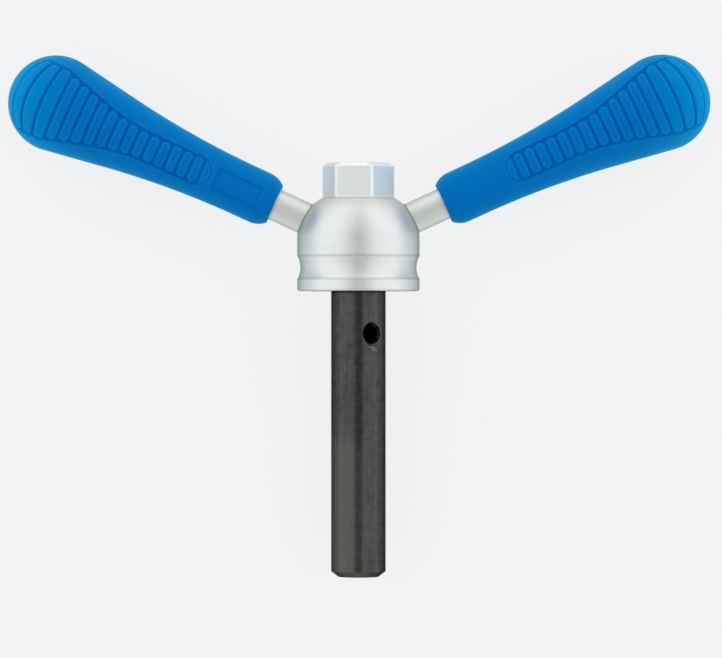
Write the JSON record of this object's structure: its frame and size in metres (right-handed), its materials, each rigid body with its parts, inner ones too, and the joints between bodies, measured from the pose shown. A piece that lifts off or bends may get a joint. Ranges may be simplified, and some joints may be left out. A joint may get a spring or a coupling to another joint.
{
  "type": "bottom bracket tool handle",
  "caption": "Drive handle for bottom bracket taps and facers: turned hub with a hexagon on top, guide shaft below, and angled rods with ribbed ball-ended grips.",
  "frame": {"origin": "on the axis of the hub and the guide shaft, in the plane of the hub's lower face", "axes": "the tool lies on its back: -Y runs down the guide shaft, +Y up to the hexagon, +X to the right-hand grip and +Z out of the front"},
  "size_m": [0.3019, 0.2245, 0.0526],
  "materials": {
    "zinc_plated_steel": "turned steel, bright zinc plating",
    "black_oxide_steel": "ground steel, black oxide",
    "rod_steel": "drawn steel, dull zinc plating",
    "grip_plastic": "moulded blue plastic, satin"
  },
  "bodies": {
    "root": {"hub": "zinc_plated_steel", "guide_shaft": "black_oxide_steel", "left_rod": "rod_steel", "right_rod": "rod_steel", "left_grip": "grip_plastic", "right_grip": "grip_plastic"}
  },
  "joints": []
}
